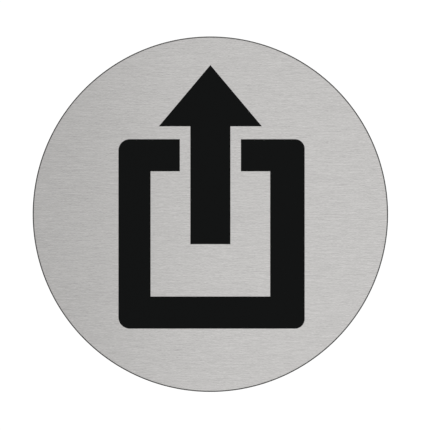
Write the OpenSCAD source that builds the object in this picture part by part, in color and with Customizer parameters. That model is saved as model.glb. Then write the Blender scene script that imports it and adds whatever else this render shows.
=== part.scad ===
// Round door sign for a way out: an arrow that leaves an open room.
// A brushed steel disc is etched with the symbol, and black enamel fills the etching.
// A disc of adhesive foam on the back sticks the sign to a door or wall.
// The sign stands upright and faces -Y. The wall that it is stuck to lies at y = 0,
// and the origin is the centre of the foam's sticky face.

/* [Steel disc] */
// Diameter of the disc
disc_d = 83; // [76:1:120]
// Thickness of the steel sheet
sheet_t = 1; // [0.8:0.1:2]
// Radius of the rim where the blanking punch rolls the front edge over
front_rim_r = 0.3; // [0.15:0.05:0.4]
// Leg of the chamfer that takes the burr off the back edge
back_chamfer = 0.1; // [0.05:0.05:0.2]

/* [Etching and enamel] */
// Depth of the etched pockets below the face of the disc
etch_depth = 0.2; // [0.15:0.05:0.4]
// How far the fired enamel lies below the face of the disc
enamel_sink = 0.03; // [0.01:0.01:0.08]

/* [Arrow] */
// Height of the arrow's tip above the centre of the disc
tip_z = 34.8; // [31:0.1:36]
// Length of the arrow from its tip to the end of its shaft
arrow_l = 41.8; // [32:0.1:50]
// Width of the arrowhead across its two barbs
head_w = 24.05; // [18:0.05:28]
// Length of the arrowhead from its tip to its barbs
head_l = 14.3; // [11:0.1:16]
// Width of the shaft
shaft_w = 9.35; // [6:0.05:12]

/* [Room] */
// Clear width inside the room
room_w = 27.9; // [24:0.1:31]
// Clear height inside the room
room_h = 29.2; // [26:0.1:31]
// Thickness of the left wall
left_wall = 7.5; // [5:0.05:9]
// Thickness of the right wall, a little stronger than the left one
right_wall = 8.05; // [5:0.05:9]
// Thickness of the upper wall, on each side of the doorway
upper_wall = 7.5; // [5:0.05:9]
// Thickness of the floor of the room
floor_wall = 7.5; // [5:0.05:9]
// Corner radius on the outside of the left wall
left_corner_r = 2.65; // [0.5:0.05:4]
// Corner radius on the outside of the right wall
right_corner_r = 2.25; // [0.5:0.05:4]
// Bare steel between the arrow's shaft and the doorway on each side
doorway_gap = 2.45; // [1.5:0.05:4]
// Bare steel between the arrowhead's barbs and the top of the room
barb_gap = 3; // [1.5:0.1:5]

/* [Foam pad] */
// Thickness of the foam pad
pad_t = 1; // [0.5:0.1:2]
// How far the edge of the pad stays inside the edge of the disc
pad_inset = 2; // [1:0.5:6]

/* [Hidden] */
$fn = 180;

// How far a cutter reaches past the surface that it opens
cut_over = 0.5;

// Heights above the wall
sheet_back = pad_t;
sheet_face = sheet_back + sheet_t;
pocket_floor = sheet_face - etch_depth;

// Sizes and places of the room's walls
outer_w = left_wall + room_w + right_wall;
outer_h = floor_wall + room_h + upper_wall;
outer_left = -room_w / 2 - left_wall;
outer_top = tip_z - head_l - barb_gap;
outer_bottom = outer_top - outer_h;
doorway_w = shaft_w + 2 * doorway_gap;

// Turns what is drawn lying on its back, with its face up, so that it faces -Y
module upright() {
    rotate([90, 0, 0])
        children();
}

// The waste beyond a rounded corner whose sharp point is at the origin,
// with the outline that it rounds off on the side of +X and +Y
module corner_waste(r) {
    difference() {
        translate([-cut_over, -cut_over])
            square(r + cut_over);
        translate([r, r])
            circle(r);
    }
}

// Half of the disc's section, from its axis out to its rim, with the rolled front edge
// and the deburred back edge
module disc_section() {
    rim = disc_d / 2;
    translate([0, sheet_back])
        difference() {
            square([rim, sheet_t]);
            translate([rim, sheet_t])
                rotate([0, 0, 180])
                    corner_waste(front_rim_r);
            polygon([
                [rim - back_chamfer, 0],
                [rim - back_chamfer, -cut_over],
                [rim + cut_over, -cut_over],
                [rim + cut_over, back_chamfer],
                [rim, back_chamfer]
            ]);
        }
}

// The arrow, pointing up and out of the room
module arrow_outline() {
    barb_z = tip_z - head_l;
    tail_z = tip_z - arrow_l;
    polygon([
        [0, tip_z],
        [head_w / 2, barb_z],
        [shaft_w / 2, barb_z],
        [shaft_w / 2, tail_z],
        [-shaft_w / 2, tail_z],
        [-shaft_w / 2, barb_z],
        [-head_w / 2, barb_z]
    ]);
}

// The outside of the room, with its four corners rounded
module room_block() {
    translate([outer_left, outer_bottom])
        difference() {
            square([outer_w, outer_h]);
            corner_waste(left_corner_r);
            translate([0, outer_h])
                mirror([0, 1])
                    corner_waste(left_corner_r);
            translate([outer_w, 0])
                mirror([1, 0])
                    corner_waste(right_corner_r);
            translate([outer_w, outer_h])
                rotate([0, 0, 180])
                    corner_waste(right_corner_r);
        }
}

// The walls of the room, open at the top where the arrow goes out
module room_outline() {
    difference() {
        room_block();
        translate([-room_w / 2, outer_bottom + floor_wall])
            square([room_w, room_h]);
        translate([-doorway_w / 2, outer_top - upper_wall - cut_over])
            square([doorway_w, upper_wall + 2 * cut_over]);
    }
}

// Enamel that fills one etched pocket, from the pocket's floor up to just under the face
module enamel() {
    color([0.08, 0.08, 0.08])
        upright()
            translate([0, 0, pocket_floor])
                linear_extrude(etch_depth - enamel_sink)
                    children();
}

// The steel disc with the two pockets etched into its face
module steel_disc() {
    color([0.75, 0.75, 0.74])
        upright()
            difference() {
                rotate_extrude()
                    disc_section();
                translate([0, 0, pocket_floor])
                    linear_extrude(etch_depth + cut_over) {
                        arrow_outline();
                        room_outline();
                    }
            }
}

// The enamelled arrow
module arrow_enamel() {
    enamel()
        arrow_outline();
}

// The enamelled walls of the room
module room_enamel() {
    enamel()
        room_outline();
}

// The die-cut disc of adhesive foam between the steel and the wall
module foam_pad() {
    color([0.35, 0.36, 0.37])
        upright()
            cylinder(h = pad_t, d = disc_d - 2 * pad_inset);
}

steel_disc();
arrow_enamel();
room_enamel();
foam_pad();
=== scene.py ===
import math

import bmesh
import bpy
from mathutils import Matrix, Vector


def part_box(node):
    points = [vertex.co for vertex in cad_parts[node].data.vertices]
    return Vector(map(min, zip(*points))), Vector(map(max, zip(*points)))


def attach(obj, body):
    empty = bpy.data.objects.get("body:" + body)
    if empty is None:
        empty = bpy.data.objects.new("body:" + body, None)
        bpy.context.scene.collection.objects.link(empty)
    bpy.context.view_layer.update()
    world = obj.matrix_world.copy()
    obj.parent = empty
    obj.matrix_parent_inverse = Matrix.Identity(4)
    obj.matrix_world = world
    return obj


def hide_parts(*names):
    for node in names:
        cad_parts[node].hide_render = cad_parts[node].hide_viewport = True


# A round door sign for a way out: a brushed steel disc with a black symbol etched and
# enamelled into its face, and a pad of adhesive foam on its back. It faces -Y, and the wall
# that it is stuck to lies at y = 0.
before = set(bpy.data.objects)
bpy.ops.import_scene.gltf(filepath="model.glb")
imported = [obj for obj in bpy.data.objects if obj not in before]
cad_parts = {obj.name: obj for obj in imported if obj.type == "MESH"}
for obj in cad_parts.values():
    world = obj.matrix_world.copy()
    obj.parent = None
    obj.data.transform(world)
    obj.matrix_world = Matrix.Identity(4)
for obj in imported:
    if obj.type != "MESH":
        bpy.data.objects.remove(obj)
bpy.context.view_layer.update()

MM = 0.001


# Steel disc: blanked from brushed stainless sheet, so that its lines run level right across.
# The punch rolls the front edge over, and the symbol is etched into the face as two flat
# pockets, as deep as the enamel's own solids reach.
steel_low, steel_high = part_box("steel_disc")
disc_radius = steel_high.x
front_rim_radius = 0.3 * MM
back_chamfer = 0.1 * MM


class Wire:
    """A node's output, or the start of a tree. Python's own signs on it add Math nodes."""

    def __init__(self, tree, socket=None):
        self.tree = tree
        self.socket = socket

    def node(self, kind, settings=None, sockets=None, output=0):
        """Adds a node, makes its settings, fills its sockets and returns one of its outputs."""
        made = self.tree.nodes.new(kind)
        for name, value in (settings or {}).items():
            if name == "choices":
                # An Index Switch starts with fewer choices than it may need
                while len(made.index_switch_items) < value:
                    made.index_switch_items.new()
            else:
                setattr(made, name, value)
        for name, value in (sockets or {}).items():
            several = value if isinstance(value, list) else [value]
            for one in several:
                if isinstance(one, Wire):
                    self.tree.links.new(one.socket, made.inputs[name])
                else:
                    made.inputs[name].default_value = one
        return Wire(self.tree, made.outputs[output]) if made.outputs else None

    def math(self, operation, first, second=0.0):
        """A Math node on two wires or numbers."""
        return self.node("ShaderNodeMath", {"operation": operation}, {0: first, 1: second})

    def clamped(self):
        """The same value, held between 0 and 1."""
        return self.node("ShaderNodeClamp", None, {"Value": self})

    def __add__(self, other):
        return self.math("ADD", self, other)

    def __sub__(self, other):
        return self.math("SUBTRACT", self, other)

    def __mul__(self, other):
        return self.math("MULTIPLY", self, other)

    def __truediv__(self, other):
        return self.math("DIVIDE", self, other)

    def __pow__(self, other):
        return self.math("POWER", self, other)

    def __neg__(self):
        return self.math("MULTIPLY", self, -1.0)

    def __abs__(self):
        return self.math("ABSOLUTE", self)

    def __gt__(self, other):
        return self.math("GREATER_THAN", self, other)

    def __lt__(self, other):
        return self.math("LESS_THAN", self, other)

    def __radd__(self, other):
        return self.math("ADD", other, self)

    def __rsub__(self, other):
        return self.math("SUBTRACT", other, self)

    def __rmul__(self, other):
        return self.math("MULTIPLY", other, self)

    def __rtruediv__(self, other):
        return self.math("DIVIDE", other, self)


def new_finish(name):
    """An empty material, and the object's own coordinates, which its patterns read."""
    material = bpy.data.materials.new(name)
    material.use_nodes = True
    material.node_tree.nodes.clear()
    return material, Wire(material.node_tree).node("ShaderNodeTexCoord", output="Object")


def close_finish(place, sockets):
    """Adds the Principled shader with these sockets and sends it to the material's output."""
    shader = place.node("ShaderNodeBsdfPrincipled", None, sockets)
    place.node("ShaderNodeOutputMaterial", None, {"Surface": shader})


def speckle(place, size, seed, detail=2.0):
    """Noise from about -0.5 to 0.5 in grains of that size along X, Y and Z."""
    grains = place.node("ShaderNodeMapping", None, {
        "Vector": place,
        "Location": (seed, seed, seed),
        "Scale": tuple(1 / length for length in size),
    })
    sockets = {"Vector": grains, "Scale": 1.0, "Detail": detail}
    return place.node("ShaderNodeTexNoise", None, sockets) - 0.5


def along(vector, axis):
    """How far a vector reaches along X, Y or Z."""
    return vector.node("ShaderNodeSeparateXYZ", None, {"Vector": vector}, output=axis)


def scaled(vector, factor):
    """A vector or a colour, taken that many times."""
    return factor.node("ShaderNodeVectorMath", {"operation": "SCALE"}, {0: vector, "Scale": factor})


def shade(colour, variation):
    """A colour that is lighter where the variation is above 0 and darker where it is below."""
    return scaled(colour, 1 + variation)


def blend(factor, under, over):
    """One colour that turns into another as the factor goes from 0 to 1."""
    # Sockets 4 and 5 and output 1 are the ones that a Mix node uses for vectors
    sockets = {0: factor, 4: under, 5: over}
    return factor.node("ShaderNodeMix", {"data_type": "VECTOR"}, sockets, output=1)


def relief(height, depth):
    """The normal of a surface whose relief is the height times that depth."""
    sockets = {"Height": height, "Distance": depth, "Strength": 1.0}
    return height.node("ShaderNodeBump", None, sockets, output="Normal")


def moved_up(place, rise):
    """The same coordinates, read that far higher up."""
    return place.node("ShaderNodeVectorMath", {"operation": "ADD"}, {0: place, 1: (0, 0, rise)})


def brushed(place):
    """The level lines that an abrasive belt leaves, the finer ones stronger than the long ones."""
    long_lines = speckle(place, (12 * MM, 1 * MM, 0.1 * MM), 3.1)
    short_lines = speckle(place, (1.2 * MM, 1 * MM, 0.08 * MM), 7.7)
    fine_lines = speckle(place, (0.5 * MM, 1 * MM, 0.05 * MM), 12.9)
    hairlines = speckle(place, (3 * MM, 1 * MM, 0.04 * MM), 17.3)
    return long_lines * 0.3 + short_lines * 0.54 + fine_lines * 0.82 + hairlines * 0.68


# The belt's lines are painted into the face's colour as painted shade of its grooves, lighter
# and darker streaks, and each line is set off a little from the ones just above and below it.
brushed_tone = (0.405, 0.3978, 0.3912)
line_spacing = 0.235 * MM
painted_line_shade = 0.1

steel_face, place = new_finish("brushed_steel_face")
grooves_and_shade = brushed(place)
beside = brushed(moved_up(place, line_spacing)) + brushed(moved_up(place, -line_spacing))
clouds = speckle(place, (14 * MM, 1 * MM, 2.5 * MM), 21.3)
close_finish(place, {
    # Painted shade: the colour is lighter and darker along the belt's lines, for the grooves
    "Base Color": shade(brushed_tone, grooves_and_shade - beside * painted_line_shade + clouds * 0.05),
    "Metallic": 1.0,
    "Roughness": 0.3 + grooves_and_shade * 0.05,
    "Anisotropic": 0.9,
    "Anisotropic Rotation": 0.25,
    "Normal": relief(grooves_and_shade, 0.002 * MM),
})

# Punching leaves three bands on the cut edge, from its front to its back: a dark one where
# the steel rolls over, a bright one where it shears, and a grey one, with a ragged border,
# where it tears. The dark of the rolled band is painted shade, put into its colour for the
# curve that turns away from the light.
rolled_shade_tone = (0.072, 0.0713, 0.0699)
sheared_tone = (0.378, 0.374, 0.367)
torn_tone = (0.284, 0.281, 0.275)
sheared_from = 0.32  # share of the sheet's thickness, from its face
torn_from = 0.62
band_sharpness = 20.0

steel_edge, place = new_finish("cut_steel_edge")
scores = speckle(place, (0.1 * MM, 3 * MM, 0.1 * MM), 4.4)
tears = speckle(place, (0.12 * MM, 0.08 * MM, 0.12 * MM), 14.4)
ragged = speckle(place, (0.6 * MM, 3 * MM, 0.6 * MM), 24.4) * 0.3
depth = (along(place, "Y") - steel_low.y) / (steel_high.y - steel_low.y)
sheared = ((depth - sheared_from) * band_sharpness).clamped()
torn = ((depth - torn_from + ragged) * band_sharpness).clamped()
banded = blend(torn, blend(sheared, rolled_shade_tone, sheared_tone), torn_tone)
close_finish(place, {
    "Base Color": shade(banded, scores * 0.25 + tears * torn * 0.37),
    "Metallic": 1.0,
    "Roughness": 0.45 - sheared * 0.18 + torn * 0.28 + scores * 0.2,
    "Normal": relief(scores + tears * torn * 2, 0.02 * MM),
})

mill_tone = (0.5, 0.495, 0.487)

steel_back, place = new_finish("mill_finish_back")
grain = speckle(place, (0.25 * MM, 1 * MM, 0.25 * MM), 9.2)
close_finish(place, {
    "Base Color": shade(mill_tone, grain * 0.08),
    "Metallic": 1.0,
    "Roughness": 0.32 + grain * 0.1,
    "Normal": relief(grain, 0.002 * MM),
})

# The normal of a face that lies level with the sign reaches at least this far along Y
about_level = 0.99
fully_level = 0.9999
crease_angle = math.radians(30)
merge_distance = 0.001 * MM
face_zone = 0.1 * MM  # how far behind the disc's face the enamel's own face is looked for
cutter_over = 0.5 * MM


def new_shape(name, sizes):
    """A Geometry Nodes tree with named inputs, the wire that starts it and its inputs' wires."""
    kinds = {float: "NodeSocketFloat", int: "NodeSocketInt", bpy.types.Object: "NodeSocketObject"}
    tree = bpy.data.node_groups.new(name, "GeometryNodeTree")
    for label, value in sizes.items():
        tree.interface.new_socket(name=label, in_out="INPUT", socket_type=kinds[type(value)])
    tree.interface.new_socket(name="Geometry", in_out="OUTPUT", socket_type="NodeSocketGeometry")
    given = tree.nodes.new("NodeGroupInput")
    return Wire(tree), {label: Wire(tree, given.outputs[label]) for label in sizes}


def close_shape(shape, finishes):
    """Ends a tree in Realize Instances and a Set Material for each finish and its faces."""
    shape = shape.node("GeometryNodeRealizeInstances", None, {"Geometry": shape})
    for finish, faces in finishes:
        sockets = {"Geometry": shape, "Selection": faces, "Material": finish}
        shape = shape.node("GeometryNodeSetMaterial", None, sockets)
    shape.node("NodeGroupOutput", None, {"Geometry": shape})


def smooth(piece):
    """Shades a piece smooth, but for its faces that lie level with the sign and its sharp edges."""
    piece.data.shade_smooth()
    piece.data.set_sharp_from_angle(angle=crease_angle)
    for face in piece.data.polygons:
        face.use_smooth = abs(face.normal.y) < fully_level


def grow(name, start, sizes):
    """Runs a tree at the given sizes and returns what it makes as a plain, smooth-shaded mesh."""
    piece = bpy.data.objects.new(name, bpy.data.meshes.new(name))
    bpy.context.scene.collection.objects.link(piece)
    modifier = piece.modifiers.new(name, "NODES")
    modifier.node_group = start.tree
    for label, value in sizes.items():
        modifier[start.tree.interface.items_tree[label].identifier] = value
    seen = piece.evaluated_get(bpy.context.evaluated_depsgraph_get())
    piece.data = bpy.data.meshes.new_from_object(seen)
    piece.modifiers.remove(modifier)
    smooth(piece)
    return piece


def point(start, x=0.0, y=0.0, z=0.0):
    """The place at these distances along the axes, which are wires or numbers."""
    return start.node("ShaderNodeCombineXYZ", None, {"X": x, "Y": y, "Z": z})


def raised(shape, height):
    """Moves what lies with its face up to that height above the wall."""
    sockets = {"Geometry": shape, "Translation": point(shape, z=height)}
    return shape.node("GeometryNodeTransform", None, sockets)


def faced_to_front(shape):
    """Turns what lies with its face up, at its heights above the wall, to face -Y."""
    sockets = {"Geometry": shape, "Rotation": (math.pi / 2, 0, 0)}
    return shape.node("GeometryNodeTransform", None, sockets)


def merged(shape):
    """Joins the corners of a shape that lie on one another."""
    sockets = {"Geometry": shape, "Distance": merge_distance}
    return shape.node("GeometryNodeMergeByDistance", None, sockets)


def round_curve(radius, steps):
    """A circle about the disc's axis."""
    sockets = {"Radius": radius, "Resolution": steps}
    return radius.node("GeometryNodeCurvePrimitiveCircle", None, sockets)


def round_plate(radius, steps, height):
    """A single round face, looking up, at that height above the wall."""
    outline = round_curve(radius, steps)
    plate = outline.node("GeometryNodeFillCurve", {"mode": "NGONS"}, {"Curve": outline})
    return raised(plate, height)


def pocket_cutter(enamel, disc_face):
    """The enamel's own solid, with its face pushed out past the face of the disc."""
    solid = enamel.node("GeometryNodeObjectInfo", None, {"Object": enamel}, output="Geometry")
    here_y = along(solid.node("GeometryNodeInputPosition"), "Y")
    return solid.node("GeometryNodeSetPosition", None, {
        "Geometry": merged(solid),
        "Selection": here_y < -(disc_face - face_zone),
        "Offset": (0, -cutter_over, 0),
    })


disc_sizes = {
    "Radius": disc_radius,
    "Back": -steel_high.y,
    "Face": -steel_low.y,
    "Rolled edge": front_rim_radius,
    "Chamfer": back_chamfer,
    "Steps round": 720,
    "Steps in the roll": 10,
    "Arrow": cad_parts["arrow_enamel"],
    "Room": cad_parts["room_enamel"],
}
start, size = new_shape("blanked_disc", disc_sizes)

# The rim's section has four corners, from the edge of the face round to the edge of the
# back, and its second one is rolled over.
corner = start.node("GeometryNodeInputIndex")
is_rolled = (corner > 0.5) * (corner < 1.5)
rim_corners = start.node("GeometryNodeIndexSwitch", {"data_type": "VECTOR", "choices": 4}, {
    "Index": corner,
    "0": point(start, size["Rolled edge"] * -2, -size["Face"]),
    "1": point(start, 0.0, -size["Face"]),
    "2": point(start, 0.0, -(size["Back"] + size["Chamfer"])),
    "3": point(start, -size["Chamfer"], -size["Back"]),
})
rim_points = start.node("GeometryNodePoints", None, {"Count": 4, "Position": rim_corners})
rim_line = start.node("GeometryNodePointsToCurves", None, {"Points": rim_points})
rim_section = start.node("GeometryNodeFilletCurve", {"mode": "POLY"}, {
    "Curve": rim_line,
    "Count": size["Steps in the roll"],
    "Radius": size["Rolled edge"] * is_rolled,
})
rim = start.node("GeometryNodeCurveToMesh", None, {
    "Curve": round_curve(size["Radius"], size["Steps round"]),
    "Profile Curve": rim_section,
})
face = round_plate(size["Radius"] - size["Rolled edge"] * 2, size["Steps round"], size["Face"])
back = round_plate(size["Radius"] - size["Chamfer"], size["Steps round"], size["Back"])
back = start.node("GeometryNodeFlipFaces", None, {"Mesh": back})
blank = merged(start.node("GeometryNodeJoinGeometry", None, {"Geometry": [rim, face, back]}))
etched = start.node("GeometryNodeMeshBoolean", {"operation": "DIFFERENCE", "solver": "EXACT"}, {
    "Mesh 1": faced_to_front(blank),
    "Mesh 2": [pocket_cutter(size[symbol], size["Face"]) for symbol in ("Arrow", "Room")],
}, output="Mesh")
etched = start.node("GeometryNodeTriangulate", None, {"Mesh": etched})

here = start.node("GeometryNodeInputPosition")
outward = point(start, along(here, "X"), 0.0, along(here, "Z"))
from_axis = start.node(
    "ShaderNodeVectorMath", {"operation": "LENGTH"}, {0: outward}, output="Value")
close_shape(etched, [
    (steel_face, True),
    (steel_edge, from_axis > size["Radius"] - size["Rolled edge"]),
    (steel_back, along(start.node("GeometryNodeInputNormal"), "Y") > about_level),
])
disc = grow("etched_disc", start, disc_sizes)
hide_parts("steel_disc")
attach(disc, "root")


# Enamel: black, filled into the two etched pockets, fired, and rubbed down with the face.
# It ends just under the steel and is drawn a little way up the walls of its pocket.
enamel_tone = (0.0026, 0.003, 0.003)
enamel_climb = 0.025 * MM
enamel_reach = 0.06 * MM
enamel_steps = (0.02 * MM, 0.03 * MM, 0.04 * MM, 0.06 * MM, 0.1 * MM)
flat_angle = math.radians(0.5)

black_enamel, place = new_finish("black_enamel")
ripple = speckle(place, (0.9 * MM, 0.9 * MM, 0.9 * MM), 5.5)
dust = speckle(place, (0.15 * MM, 0.15 * MM, 0.15 * MM), 15.5)
close_finish(place, {
    "Base Color": shade(enamel_tone, ripple * 0.15),
    "Specular IOR Level": 0.05,
    "Roughness": 0.5 + ripple * 0.1 + dust * 0.15,
    "Normal": relief(ripple + dust * 0.15, 0.015 * MM),
})


def climb(inward):
    """How far the enamel stands up that far in from the wall of its pocket."""
    return enamel_climb * math.exp(-inward / enamel_reach)


def fill_pocket(name, node):
    """The enamel in one pocket, on the CAD's own outline, with its edge drawn up the steel."""
    fill = bmesh.new()
    fill.from_mesh(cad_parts[node].data)
    bmesh.ops.remove_doubles(fill, verts=fill.verts, dist=merge_distance)
    bmesh.ops.dissolve_limit(fill, angle_limit=flat_angle, verts=fill.verts, edges=fill.edges)
    bmesh.ops.recalc_face_normals(fill, faces=fill.faces)
    top = next(face for face in fill.faces if face.normal.y < -about_level)
    bmesh.ops.translate(fill, verts=top.verts, vec=(0, -enamel_climb, 0))
    inward = 0.0
    for step in enamel_steps:
        fall = climb(inward) - climb(inward + step)
        inward += step
        bmesh.ops.inset_region(
            fill, faces=[top], thickness=step, use_even_offset=True, use_boundary=True)
        bmesh.ops.translate(fill, verts=top.verts, vec=(0, fall, 0))
    piece = bpy.data.objects.new(name, bpy.data.meshes.new(name))
    fill.to_mesh(piece.data)
    fill.free()
    bpy.context.scene.collection.objects.link(piece)
    piece.data.materials.append(black_enamel)
    smooth(piece)
    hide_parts(node)
    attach(piece, "root")


fill_pocket("arrow_fill", "arrow_enamel")
fill_pocket("room_fill", "room_enamel")


# Foam pad: closed-cell acrylic foam with glue on both sides, die-cut into a disc. The die
# opens the cells along the cut edge and draws it in a little at the middle.
pad_low, pad_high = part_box("foam_pad")
foam_tone = (0.085, 0.088, 0.092)
sticky_tone = (0.1, 0.103, 0.107)
edge_cell = 0.14 * MM
pore_spacing = 1.1 * MM
pore_radius = 0.2  # share of their spacing


def from_bubble(place, spacing):
    """How far each place lies from the nearest bubble's middle, as a share of their spacing."""
    sockets = {"Vector": place, "Scale": 1 / spacing}
    return place.node("ShaderNodeTexVoronoi", None, sockets, output="Distance")


cut_foam, place = new_finish("cut_foam_edge")
cells = from_bubble(place, edge_cell)
shadow = speckle(place, (0.4 * MM, 0.4 * MM, 0.4 * MM), 2.5)
close_finish(place, {
    # Painted shade: each open cell is darker towards its middle, and the shadow noise darkens it in
    # patches
    "Base Color": shade(foam_tone, cells * 0.5 + shadow * 0.3 - 0.2),
    "Roughness": 0.85 + shadow * 0.1,
    "Specular IOR Level": 0.3,
    "Normal": relief(cells, 0.03 * MM),
})

sticky_face, place = new_finish("sticky_foam_face")
skin = speckle(place, (0.5 * MM, 0.5 * MM, 0.5 * MM), 6.5, detail=4.0)
coat_streaks = speckle(place, (1.2 * MM, 1.2 * MM, 14 * MM), 8.5)
patches = speckle(place, (11 * MM, 11 * MM, 11 * MM), 18.5)
pores_and_shade = (1 - from_bubble(place, pore_spacing) / pore_radius).clamped()
mottle = skin * 0.6 + coat_streaks * 0.3 + patches * 0.35
close_finish(place, {
    # Painted shade: the pores are darker than the face around them
    "Base Color": shade(sticky_tone, mottle - pores_and_shade * 0.45),
    "Roughness": 0.42 + skin * 0.2 + coat_streaks * 0.15 + pores_and_shade * 0.3,
    "Specular IOR Level": 0.4,
    "Normal": relief(skin + coat_streaks * 0.5 - pores_and_shade, 0.02 * MM),
})

pad_sizes = {
    "Radius": pad_high.x,
    "Thickness": pad_high.y - pad_low.y,
    "Steps round": 2400,
    "Steps through": 10,
    "Cell size": 0.34 * MM,
    "Cell depth": 0.09 * MM,
    "Cell opening": 0.6,  # share of the cell size
    "Sound edge": 0.2,  # share of half the thickness
    "Waist": 0.05 * MM,
}
start, size = new_shape("die_cut_pad", pad_sizes)
slug = start.node("GeometryNodeMeshCylinder", {"fill_type": "NGON"}, {
    "Vertices": size["Steps round"],
    "Side Segments": size["Steps through"],
    "Radius": size["Radius"],
    "Depth": size["Thickness"],
}, output="Mesh")

# The cells open towards the middle of the cut, and none is open at its two edges.
here = start.node("GeometryNodeInputPosition")
off_middle = abs(along(here, "Z")) / size["Thickness"] * 2
open_cells = (1 - (from_bubble(here, size["Cell size"]) / size["Cell opening"]) ** 2).clamped()
inner_wall = ((1 - off_middle) / size["Sound edge"]).clamped()
cut_in = size["Cell depth"] * open_cells * inner_wall + size["Waist"] * (1 - off_middle ** 2)
outward = point(start, along(here, "X"), along(here, "Y"))
pad = start.node("GeometryNodeSetPosition", None, {
    "Geometry": slug,
    "Offset": scaled(outward, -cut_in / size["Radius"]),
})
pad = faced_to_front(raised(pad, size["Thickness"] / 2))
on_face = abs(along(start.node("GeometryNodeInputNormal"), "Y")) > about_level
close_shape(pad, [(cut_foam, True), (sticky_face, on_face)])
foam = grow("adhesive_pad", start, pad_sizes)
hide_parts("foam_pad")
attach(foam, "root")


# Studio: a pale floor so far below the sign that it can be seen from under it too, white
# surroundings, and large soft lamps. The box to the front right lights the right half of
# the brushed face more than the left.
floor_level = steel_low.z - 700 * MM
floor_reach = 1200 * MM
floor_tone = (0.85, 0.85, 0.85, 1)
floor_lift = 0.35
soft_level = 0.8
white_level = 1.05  # just past white, so that the background is white everywhere
white = (1, 1, 1, 1)

world = bpy.data.worlds.new("white_studio")
world.use_nodes = True
world.node_tree.nodes.clear()
bpy.context.scene.world = world


def seen_directly(start):
    """1 for camera, glossy and transmission rays, and 0 for the rays that only light things."""
    camera, glossy, through = (
        start.node("ShaderNodeLightPath", output=kind)
        for kind in ("Is Camera Ray", "Is Glossy Ray", "Is Transmission Ray")
    )
    return (camera + glossy + through).clamped()


start = Wire(world.node_tree)
air = start.node("ShaderNodeBackground", None, {
    "Color": white,
    "Strength": soft_level + (white_level - soft_level) * seen_directly(start),
})
start.node("ShaderNodeOutputWorld", None, {"Surface": air})

pale_floor, place = new_finish("pale_floor")
cover = place.node("ShaderNodeBsdfDiffuse", None, {"Color": floor_tone})
glow = floor_lift * seen_directly(place)
lift = place.node("ShaderNodeEmission", None, {"Color": white, "Strength": glow})
both = place.node("ShaderNodeAddShader", None, {0: cover, 1: lift})
place.node("ShaderNodeOutputMaterial", None, {"Surface": both})

floor_mesh = bpy.data.meshes.new("floor")
floor_mesh.from_pydata([
    (side * floor_reach, depth * floor_reach, floor_level)
    for side, depth in ((-1, -1), (1, -1), (1, 1), (-1, 1))
], [], [(0, 1, 2, 3)])
floor_mesh.materials.append(pale_floor)
floor = bpy.data.objects.new("floor", floor_mesh)
bpy.context.scene.collection.objects.link(floor)


def softbox(name, place, side, power, facing=None):
    """A square soft lamp at that place, turned to the sign or in the direction that it faces."""
    lamp = bpy.data.lights.new(name, "AREA")
    lamp.shape = "SQUARE"
    lamp.size = side
    lamp.energy = power
    stand = bpy.data.objects.new(name, lamp)
    stand.location = place
    stand.rotation_mode = "QUATERNION"
    stand.rotation_quaternion = Vector(facing or [-x for x in place]).to_track_quat("-Z", "Y")
    bpy.context.scene.collection.objects.link(stand)


softbox("front_right_box", place=(0.358, -0.6, -0.2), side=0.8, power=0.916, facing=(0, 1, 0))
softbox("top_box", place=(0, -0.1, 0.9), side=0.8, power=2.0)
softbox("back_box", place=(-0.4, 0.8, 0.4), side=0.6, power=1.0)


# Camera: straight in front, far off with a long lens, as a catalogue shot is taken.
picture_side = 430  # pixels
disc_across = 355.75  # pixels
disc_centre = (210.37, 214.19)  # pixels, from the picture's top left corner
pixel = 2 * disc_radius / disc_across

lens = bpy.data.cameras.new("long_lens")
lens.sensor_width = 36.0
lens.lens = 200.0
lens.clip_start = 0.01
lens.clip_end = 20.0
camera = bpy.data.objects.new("long_lens", lens)
camera.location = (
    (picture_side / 2 - disc_centre[0]) * pixel,
    steel_low.y - picture_side * pixel * lens.lens / lens.sensor_width,
    (disc_centre[1] - picture_side / 2) * pixel,
)
camera.rotation_euler = (math.pi / 2, 0, 0)
bpy.context.scene.collection.objects.link(camera)
bpy.context.scene.camera = camera
bpy.context.scene.view_settings.view_transform = "Standard"
